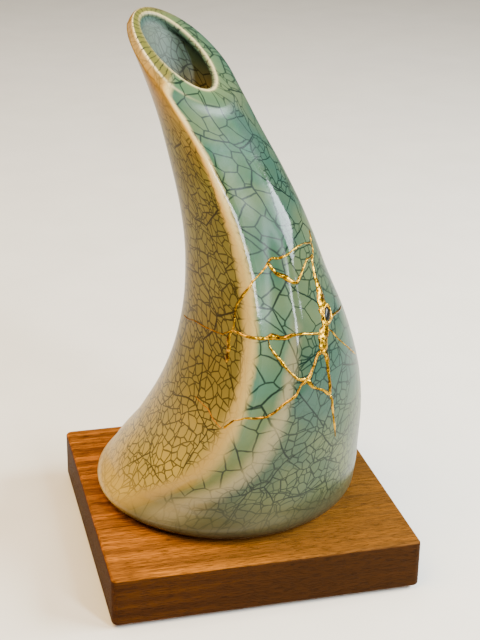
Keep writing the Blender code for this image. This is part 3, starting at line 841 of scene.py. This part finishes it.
def stone_axes():
    """The oval's middle, its long axis, its cross axis and the way out of the glaze."""
    ends = clay(np.array((STONE_TOP[0], STONE_FOOT[0])), np.array((STONE_TOP[1], STONE_FOOT[1])))
    share, angle = (np.array(STONE_TOP) + STONE_FOOT) / 2
    out = slopes(np.array(share), np.array(angle))[2]
    long_way = ends[0] - ends[1]
    long_way -= out * long_way.dot(out)
    long_way /= np.linalg.norm(long_way)
    cross_way = np.cross(long_way, out)
    return [Vector(v) for v in (clay(share, angle), long_way, cross_way, out)]


stone_middle, stone_long, stone_cross, stone_out = stone_axes()
stone_turn = Matrix((stone_long, stone_cross, stone_out)).transposed().to_4x4()
stone_place = Matrix.Translation(stone_middle) @ stone_turn

bm = bmesh.new()
for seed, points in enumerate(SEAMS.values()):
    lay_seam(bm, points, seed * 3.7)
# The stone's setting is a ring of the same gold, drawn out to the oval
before = set(bm.verts)
upended = Matrix.Rotation(math.pi / 2, 4, "X")
setting = bmesh.ops.create_circle(bm, segments=10, radius=BEZEL, matrix=upended)
bmesh.ops.translate(bm, vec=(STONE_WIDTH / 2 + BEZEL * 0.6, 0, BEZEL_LIFT), verts=setting["verts"])
edges = [e for e in bm.edges if e.verts[0] not in before]
profile = setting["verts"] + edges
bmesh.ops.spin(
    bm, geom=profile, cent=(0, 0, 0), axis=(0, 0, 1), angle=2 * math.pi, steps=40, use_merge=True,
)
ring = [v for v in bm.verts if v not in before]
bmesh.ops.scale(bm, vec=(STONE_LENGTH / STONE_WIDTH, 1, 1), verts=ring)
bmesh.ops.transform(bm, matrix=stone_place, verts=ring)
bmesh.ops.recalc_face_normals(bm, faces=bm.faces)

gold, shader, tone, place = finish("gold_over_lacquer")
grit = tone.cloud(place, 0.45, 1.0, 0.5)
broad = tone.cloud(place, 0.35, 2.0)
powder = tone.blend(grit.rise(0.35, 0.65), srgb(118, 84, 2), srgb(194, 148, 16))
powder = tone.blend(broad.rise(0.48, 0.62) * 0.8, powder, srgb(88, 62, 2))
# The seams' left ends are painted orange, as warm light from the lamp on the left
warm_lit_ends = place.parts()[0].rise(-8.0, -24.0)
powder = tone.blend(warm_lit_ends * 0.65, powder, srgb(148, 84, 5))
feed(shader, "Base Color", powder)
shader.inputs["Metallic"].default_value = 1.0
feed(shader, "Roughness", 0.20 + 0.16 * grit + 0.15 * warm_lit_ends)
relief(shader, grit, GOLD_RELIEF)
piece("gold_repair", bm, gold, "gold_seams")


# A small black stone, cut as an oval with a domed and polished face, closes the point where the vase was
# struck. It is bedded in the lacquer, which is drawn up round it as a gold rim.
bm = bmesh.new()
bmesh.ops.create_uvsphere(bm, u_segments=40, v_segments=24, radius=1)
bmesh.ops.scale(bm, vec=(STONE_LENGTH / 2, STONE_WIDTH / 2, STONE_PROUD), verts=bm.verts)
bmesh.ops.transform(bm, matrix=stone_place, verts=bm.verts)
bmesh.ops.recalc_face_normals(bm, faces=bm.faces)

onyx, shader, tone, place = finish("black_stone")
cloudy = tone.cloud(place, 0.8, 3.0)
feed(shader, "Base Color", tone.blend(cloudy, srgb(8, 9, 10), srgb(34, 34, 30)))
feed(shader, "Roughness", 0.08 + 0.06 * cloudy)
shader.inputs["Specular IOR Level"].default_value = 0.12
piece("black_cabochon", bm, onyx, "black_inlay")


# The table is a plain pale sheet. A warm lamp stands high on the left, a window and a narrow pane on the
# right and a dim sky behind, so that the glaze shows one long highlight on the shoulder.
TABLE_REACH = 3
AIM = Vector((0, 0, 0.12))
ROOM_COLOUR = (0.95, 0.96, 1.0, 1.0)
ROOM_STRENGTH = 0.13

bm = bmesh.new()
bmesh.ops.create_grid(bm, x_segments=1, y_segments=1, size=TABLE_REACH)
mesh = bpy.data.meshes.new("table")
bm.to_mesh(mesh)
bm.free()
table = bpy.data.objects.new("table", mesh)
bpy.context.scene.collection.objects.link(table)
sheet, shader, tone, place = finish("pale_sheet")
cloudy = tone.cloud(place, 0.02, 3.0)
feed(shader, "Base Color", tone.blend(cloudy, srgb(220, 216, 206), srgb(232, 228, 218)))
shader.inputs["Roughness"].default_value = 0.9
mesh.materials.append(sheet)


def lamp(name, azimuth, elevation, distance, size, power, colour):
    """A soft light that looks at the vase. Azimuth 0 is the front, 90 is the right."""
    light = bpy.data.lights.new(name, "AREA")
    light.shape = "RECTANGLE"
    light.size, light.size_y = size
    light.energy = power
    light.color = colour
    a, e = math.radians(azimuth), math.radians(elevation)
    outward = Vector((math.sin(a) * math.cos(e), -math.cos(a) * math.cos(e), math.sin(e)))
    made = bpy.data.objects.new(name, light)
    made.location = AIM + outward * distance
    made.rotation_euler = outward.to_track_quat("Z", "Y").to_euler()
    bpy.context.scene.collection.objects.link(made)


lamp("window", 72, 31, 1.1, (0.86, 0.30), 42, (0.86, 0.95, 1.0))
lamp("pane", 22, 31, 1.1, (0.12, 0.54), 13, (0.9, 0.96, 1.0))
lamp("warm_lamp", -64, 58, 1.2, (1.0, 0.8), 32, (1.0, 0.66, 0.26))
lamp("skylight", 190, 62, 1.4, (1.4, 1.0), 18, (1.0, 0.98, 0.95))
room = bpy.data.worlds.new("room")
room.use_nodes = True
room.node_tree.nodes["Background"].inputs["Color"].default_value = ROOM_COLOUR
room.node_tree.nodes["Background"].inputs["Strength"].default_value = ROOM_STRENGTH
bpy.context.scene.world = room
